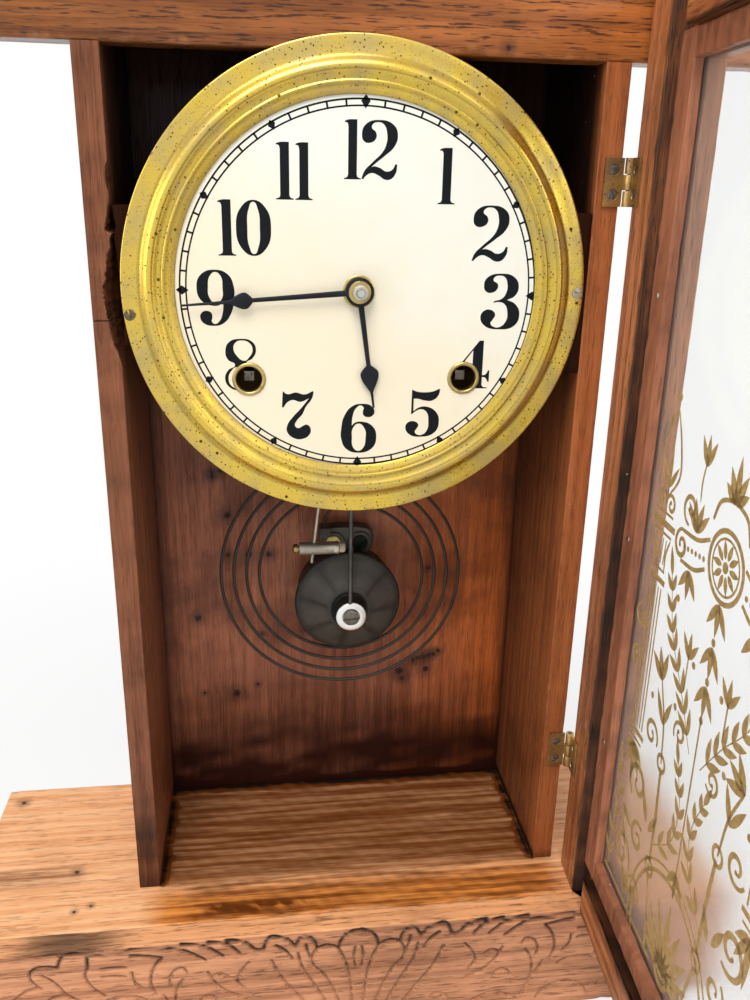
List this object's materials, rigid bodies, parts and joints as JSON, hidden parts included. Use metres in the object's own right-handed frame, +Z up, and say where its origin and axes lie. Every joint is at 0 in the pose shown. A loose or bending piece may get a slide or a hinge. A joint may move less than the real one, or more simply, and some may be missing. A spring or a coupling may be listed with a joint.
{
  "type": "mantel clock",
  "caption": "Oak shelf clock, glazed door standing open: white dial in a brass bezel, spade hands, wire coil gong on an iron base, strike hammer, pendulum rod and geared movement.",
  "frame": {"origin": "middle of the base's underside, on the plane it stands on", "axes": "+X to the right of someone who faces the dial, +Y to the back, +Z up"},
  "size_m": [0.39, 0.315, 0.588],
  "materials": {
    "case_oak": "worn orange-brown varnish over open oak grain",
    "base_oak": "worn varnish over oak grain with pressed ornament",
    "back_oak": "dull reddish brown with stains",
    "fillet_wood": "raw dark strip",
    "aged_brass": "aged, with brown specks",
    "movement_brass": "dull sheet",
    "dial_white": "cream enamel paint with black print",
    "blued_steel": "blued almost black",
    "dark_steel": "dark drawn wire",
    "bright_steel": "worn bright",
    "nickel": "worn nickel plate",
    "gong_iron": "dull black",
    "spring_steel": "tempered grey",
    "clear_glass": "clear, gilt ornament on its back",
    "pale_leather": "worn pale tip"
  },
  "bodies": {
    "case": {"base_bottom_board": "base_oak", "base_top_board": "base_oak", "base_front_board": "base_oak", "base_ends_and_back": "base_oak", "left_side_board": "case_oak", "right_side_board": "case_oak", "top_board": "case_oak", "crest_board": "case_oak", "back_board": "back_oak", "dial_blocks": "fillet_wood", "catch_pin": "aged_brass", "dial_screws": "bright_steel", "dial_bezel": "aged_brass", "dial_plate": "dial_white", "dial_grommets": "aged_brass", "gong_mounting_screws": "dark_steel", "gong_screw": "nickel", "gong_washer": "nickel", "gong_coil": "dark_steel", "gong_block": "gong_iron", "case_hinge_leaves": "aged_brass", "case_hinge_screws": "bright_steel", "hinge_pins": "bright_steel", "front_plate": "movement_brass", "back_plate": "movement_brass", "plate_pillars": "bright_steel", "pillar_nuts": "bright_steel", "front_studs": "bright_steel", "mainsprings": "spring_steel"},
    "door": {"door_hinge_stile": "case_oak", "door_latch_stile": "case_oak", "door_top_rail": "case_oak", "door_bottom_rail": "case_oak", "door_glass": "clear_glass", "glass_fillets": "fillet_wood", "hook_screw": "bright_steel", "door_hinge_leaves": "aged_brass", "door_hinge_screws": "bright_steel"},
    "hook": {"door_hook": "aged_brass"},
    "minute": {"center_arbor": "bright_steel", "minute_hand": "blued_steel", "hand_washer": "aged_brass", "hand_nut": "nickel"},
    "minute_wheel": {"minute_wheel": "movement_brass"},
    "hour": {"hour_wheel": "movement_brass", "hour_hand": "blued_steel"},
    "time_second": {"time_second_wheel": "movement_brass"},
    "time_great": {"time_great_wheel": "movement_brass"},
    "time_winding": {"time_winding_arbor": "bright_steel"},
    "time_third": {"time_third_wheel": "movement_brass"},
    "escape": {"escape_wheel": "movement_brass"},
    "strike_great": {"strike_great_wheel": "movement_brass"},
    "strike_winding": {"strike_winding_arbor": "bright_steel"},
    "strike_second": {"strike_second_wheel": "movement_brass"},
    "strike_fly": {"strike_fly": "bright_steel"},
    "pendulum": {"pendulum_rod": "dark_steel"},
    "verge": {"verge": "bright_steel"},
    "hammer": {"hammer_arm": "bright_steel", "hammer_head": "nickel", "hammer_tip": "pale_leather"}
  },
  "joints": [
    {"name": "door_swing", "type": "hinge", "parent": "case", "child": "door", "pos_m": [0.1126, -0.0264, 0.2725], "axis": [0, 0, 1], "range_deg": [-86.4, 13.6]},
    {"name": "hook_pivot", "type": "hinge", "parent": "door", "child": "hook", "pos_m": [0.10903, -0.24881, 0.262], "axis": [0.0628, 0.998, 0], "range_deg": [0, 120]},
    {"name": "minute_turn", "type": "hinge", "parent": "case", "child": "minute", "pos_m": [0, 0.012, 0.364], "axis": [0, 1, 0], "continuous": true},
    {"name": "minute_wheel_turn", "type": "hinge", "parent": "case", "child": "minute_wheel", "pos_m": [0, 0.012, 0.3784], "axis": [0, 1, 0], "continuous": true},
    {"name": "hour_turn", "type": "hinge", "parent": "case", "child": "hour", "pos_m": [0, 0.012, 0.364], "axis": [0, 1, 0], "continuous": true},
    {"name": "time_second_turn", "type": "hinge", "parent": "case", "child": "time_second", "pos_m": [0.02574, 0.012, 0.35042], "axis": [0, 1, 0], "continuous": true},
    {"name": "time_great_turn", "type": "hinge", "parent": "case", "child": "time_great", "pos_m": [0.0468, 0.012, 0.327], "axis": [0, 1, 0], "continuous": true},
    {"name": "time_winding_turn", "type": "hinge", "parent": "time_great", "child": "time_winding", "pos_m": [0.0468, 0.012, 0.327], "axis": [0, 1, 0], "continuous": true},
    {"name": "time_third_turn", "type": "hinge", "parent": "case", "child": "time_third", "pos_m": [-0.01066, 0.012, 0.34283], "axis": [0, 1, 0], "continuous": true},
    {"name": "escape_turn", "type": "hinge", "parent": "case", "child": "escape", "pos_m": [0, 0.012, 0.322], "axis": [0, 1, 0], "continuous": true},
    {"name": "strike_great_turn", "type": "hinge", "parent": "case", "child": "strike_great", "pos_m": [-0.0468, 0.012, 0.327], "axis": [0, 1, 0], "continuous": true},
    {"name": "strike_winding_turn", "type": "hinge", "parent": "strike_great", "child": "strike_winding", "pos_m": [-0.0468, 0.012, 0.327], "axis": [0, 1, 0], "continuous": true},
    {"name": "strike_second_turn", "type": "hinge", "parent": "case", "child": "strike_second", "pos_m": [-0.03349, 0.012, 0.35555], "axis": [0, 1, 0], "continuous": true},
    {"name": "strike_fly_turn", "type": "hinge", "parent": "case", "child": "strike_fly", "pos_m": [-0.0364, 0.012, 0.37209], "axis": [0, 1, 0], "continuous": true},
    {"name": "pendulum_swing", "type": "hinge", "parent": "case", "child": "pendulum", "pos_m": [0, 0.012, 0.347], "axis": [0, 1, 0], "range_deg": [-4, 4]},
    {"name": "verge_rock", "type": "hinge", "parent": "case", "child": "verge", "pos_m": [0, 0.012, 0.347], "axis": [0, 1, 0], "range_deg": [-4, 4]},
    {"name": "hammer_lift", "type": "hinge", "parent": "case", "child": "hammer", "pos_m": [-0.016, 0.012, 0.319], "axis": [0, 1, 0], "range_deg": [0, 14], "stiffness_Nm_per_rad": 0.02, "springref_deg": -5.73}
  ],
  "couplings": [
    {"joint": "minute_wheel_turn", "follows": "minute_turn", "ratio": -0.33333},
    {"joint": "hour_turn", "follows": "minute_turn", "ratio": 0.083333},
    {"joint": "time_second_turn", "follows": "minute_turn", "ratio": -0.5},
    {"joint": "time_great_turn", "follows": "minute_turn", "ratio": 0.083333},
    {"joint": "time_third_turn", "follows": "minute_turn", "ratio": -10.286},
    {"joint": "escape_turn", "follows": "minute_turn", "ratio": 123.43},
    {"joint": "strike_second_turn", "follows": "strike_great_turn", "ratio": -6},
    {"joint": "strike_fly_turn", "follows": "strike_great_turn", "ratio": 36},
    {"joint": "verge_rock", "follows": "pendulum_swing", "ratio": 1}
  ]
}
